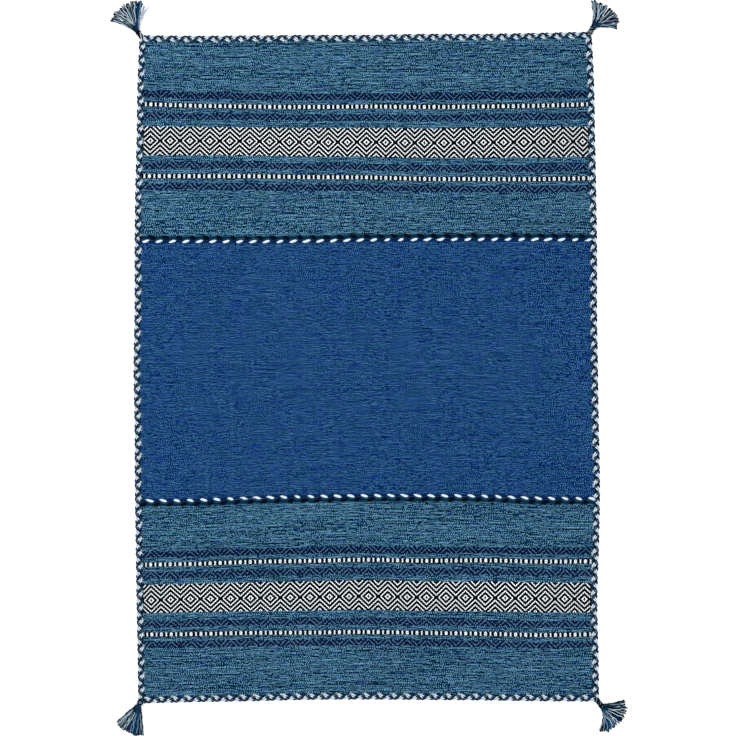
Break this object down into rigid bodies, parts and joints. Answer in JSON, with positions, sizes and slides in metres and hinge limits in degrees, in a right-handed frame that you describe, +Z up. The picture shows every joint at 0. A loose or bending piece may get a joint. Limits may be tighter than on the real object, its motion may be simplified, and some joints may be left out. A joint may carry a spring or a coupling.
{
  "type": "kilim rug",
  "caption": "Flat-woven kilim rug in teal and royal blue with diamond and bead bands, plaited seams and edges, and a tassel at each corner.",
  "frame": {"origin": "on the underside, at the middle of the rug, in the centre panel", "axes": "+X across the rug, +Y along its length towards the end called the head, +Z up, out of the upper face"},
  "size_m": [1.78, 2.5371, 0.0131],
  "materials": {
    "teal_weave": "matt weft-faced cotton, teal blends with navy, black and white pattern bands",
    "royal_weave": "matt weft-faced cotton in blended royal blues",
    "plait_yarn": "matt plaited cotton yarn in white, navy and black",
    "tassel_yarn": "matt twisted cotton yarn in white, blues, teal and black"
  },
  "bodies": {
    "root": {"head_panel": "teal_weave", "centre_panel": "royal_weave", "foot_panel": "teal_weave", "head_seam_plait": "plait_yarn", "foot_seam_plait": "plait_yarn", "head_edge_plait": "plait_yarn", "foot_edge_plait": "plait_yarn", "left_edge_plait": "plait_yarn", "right_edge_plait": "plait_yarn", "knot_head_left": "plait_yarn", "knot_head_right": "plait_yarn", "knot_foot_left": "plait_yarn", "knot_foot_right": "plait_yarn", "tassel_head_left": "tassel_yarn", "tassel_head_right": "tassel_yarn", "tassel_foot_left": "tassel_yarn", "tassel_foot_right": "tassel_yarn"}
  },
  "joints": []
}
